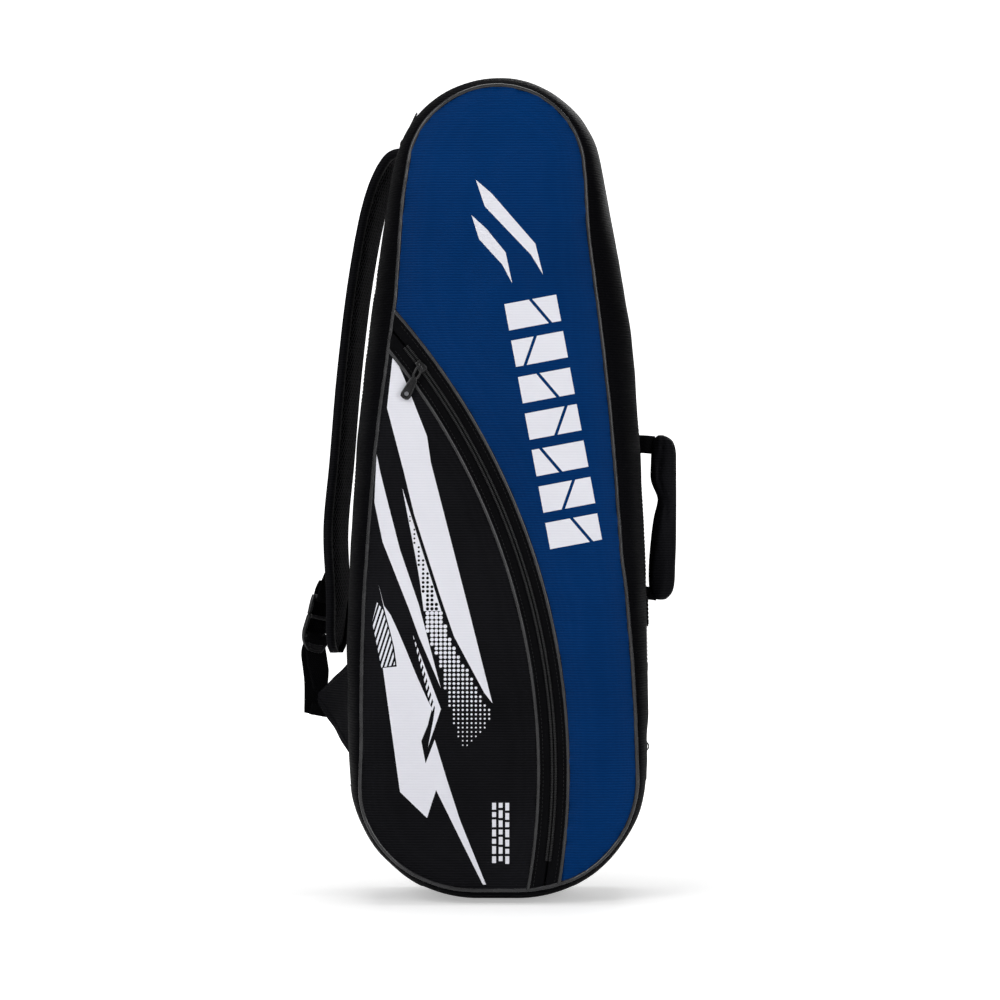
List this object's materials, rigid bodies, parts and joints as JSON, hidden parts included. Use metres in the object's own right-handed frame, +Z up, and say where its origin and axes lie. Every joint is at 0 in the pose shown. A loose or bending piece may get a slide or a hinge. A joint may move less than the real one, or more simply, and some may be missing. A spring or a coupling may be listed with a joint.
{
  "type": "racket tournament bag",
  "caption": "Egg-shaped soft racket bag with a zipped door-like lid, a curved-zip front pocket, padded shoulder straps and a side carry handle.",
  "frame": {"origin": "on the base, under the middle of the bag, in the plane the bag stands on", "axes": "+Z up, the printed front faces -Y, +X to the right seen from the front"},
  "size_m": [0.3569, 0.2565, 0.76],
  "materials": {
    "black_fabric": "black coated ripstop",
    "blue_fabric": "royal blue coated ripstop",
    "piping": "glossy black piping",
    "zip_tape": "woven black zip tape",
    "coil": "black nylon coil",
    "slider": "black lacquered die-cast",
    "webbing": "ribbed black webbing",
    "spacer_mesh": "padded strap with diamond spacer mesh",
    "buckle": "moulded black acetal",
    "lining": "thin black lining",
    "foam": "grey closed-cell foam sheet"
  },
  "bodies": {
    "tray": {"back_panel": "black_fabric", "back_foam": "foam", "rear_gusset": "black_fabric", "rear_piping": "piping", "main_zip_tape_rear": "zip_tape", "main_zip_coil_rear": "coil", "hinge_web": "black_fabric", "zip_end_tab_upper": "black_fabric", "zip_end_tab_lower": "black_fabric", "strap_anchor_patch": "webbing", "wing_left": "black_fabric", "wing_right": "black_fabric", "handle_anchor_lower": "webbing", "handle_anchor_upper": "webbing"},
    "lid": {"front_gusset": "black_fabric", "front_piping": "piping", "front_panel": "blue_fabric", "pocket_panel": "black_fabric", "pocket_lining": "lining", "pocket_piping_upper": "piping", "pocket_zip_tape_upper": "zip_tape", "pocket_coil_upper": "coil", "main_zip_tape_front": "zip_tape", "main_zip_coil_front": "coil"},
    "pocket_mouth": {"pocket_lip": "black_fabric", "pocket_piping_lower": "piping", "pocket_zip_tape_lower": "zip_tape", "pocket_coil_lower": "coil"},
    "pocket_slider": {"pocket_slider": "slider"},
    "pocket_link": {"pocket_pull_link": "slider"},
    "pocket_tab": {"pocket_pull_tab": "slider"},
    "side_slider": {"side_slider": "slider"},
    "side_pull": {"side_slider_pull": "slider"},
    "top_slider": {"top_slider": "slider"},
    "top_pull": {"top_slider_pull": "slider"},
    "handle": {"handle_webbing": "webbing", "handle_wrap": "webbing"},
    "strap_left": {"strap_pad_left": "spacer_mesh", "strap_top_webbing_left": "webbing", "lock_webbing_left": "webbing", "ladder_lock_left": "buckle", "adjuster_webbing_left": "webbing"},
    "strap_right": {"strap_pad_right": "spacer_mesh", "strap_top_webbing_right": "webbing", "lock_webbing_right": "webbing", "ladder_lock_right": "buckle", "adjuster_webbing_right": "webbing"},
    "tail_left": {"webbing_tail_left": "webbing"},
    "tail_right": {"webbing_tail_right": "webbing"}
  },
  "joints": [
    {"name": "lid_open", "type": "hinge", "parent": "tray", "child": "lid", "pos_m": [-0.13687, 0.0077, 0.35003], "axis": [-0.0539, 0, -0.9985], "range_deg": [0, 75]},
    {"name": "pocket_mouth_open", "type": "hinge", "parent": "lid", "child": "pocket_mouth", "pos_m": [-0.01692, -0.0793, 0.2759], "axis": [0.2681, 0, -0.9634], "range_deg": [0, 45]},
    {"name": "pocket_slider_run", "type": "hinge", "parent": "lid", "child": "pocket_slider", "pos_m": [-0.57, -0.0793, 0.122], "axis": [0, 1, 0], "range_deg": [0, 41.5]},
    {"name": "pocket_link_lift", "type": "hinge", "parent": "pocket_slider", "child": "pocket_link", "pos_m": [-0.07016, -0.0835, 0.49051], "axis": [-0.887, 0, 0.4617], "range_deg": [0, 120]},
    {"name": "pocket_tab_lift", "type": "hinge", "parent": "pocket_link", "child": "pocket_tab", "pos_m": [-0.07623, -0.0847, 0.47885], "axis": [-0.887, 0, 0.4617], "range_deg": [0, 60]},
    {"name": "side_slider_run", "type": "hinge", "parent": "tray", "child": "side_slider", "pos_m": [-2.36009, 0.015, 0.21527], "axis": [0, -1, 0], "range_deg": [0, 12]},
    {"name": "side_pull_lift", "type": "hinge", "parent": "side_slider", "child": "side_pull", "pos_m": [0.14022, 0.015, 0.1318], "axis": [0, -1, 0], "range_deg": [0, 120]},
    {"name": "top_slider_run", "type": "hinge", "parent": "tray", "child": "top_slider", "pos_m": [0, 0.015, 0.662], "axis": [0, 1, 0], "range_deg": [0, 114]},
    {"name": "top_pull_lift", "type": "hinge", "parent": "top_slider", "child": "top_pull", "pos_m": [-0.08765, 0.015, 0.70985], "axis": [0, -1, 0], "range_deg": [0, 120]},
    {"name": "handle_fold", "type": "hinge", "parent": "tray", "child": "handle", "pos_m": [0.14376, 0.0388, 0.352], "axis": [0, 0, 1], "range_deg": [-38, 38]},
    {"name": "strap_left_swing", "type": "hinge", "parent": "tray", "child": "strap_left", "pos_m": [-0.17253, 0.092, 0.178], "axis": [-0.2557, 0.0285, -0.9663], "range_deg": [0, 60]},
    {"name": "strap_right_swing", "type": "hinge", "parent": "tray", "child": "strap_right", "pos_m": [0.13853, 0.104, 0.178], "axis": [0.1902, 0.0533, -0.9803], "range_deg": [-45, 50]},
    {"name": "tail_left_swing", "type": "hinge", "parent": "strap_left", "child": "tail_left", "pos_m": [-0.17998, 0.10413, 0.23709], "axis": [0.2497, 0.9676, -0.0376], "range_deg": [0, 60]},
    {"name": "tail_right_swing", "type": "hinge", "parent": "strap_right", "child": "tail_right", "pos_m": [0.12345, 0.12684, 0.23227], "axis": [0.9656, 0.1703, 0.1966], "range_deg": [0, 60]}
  ]
}
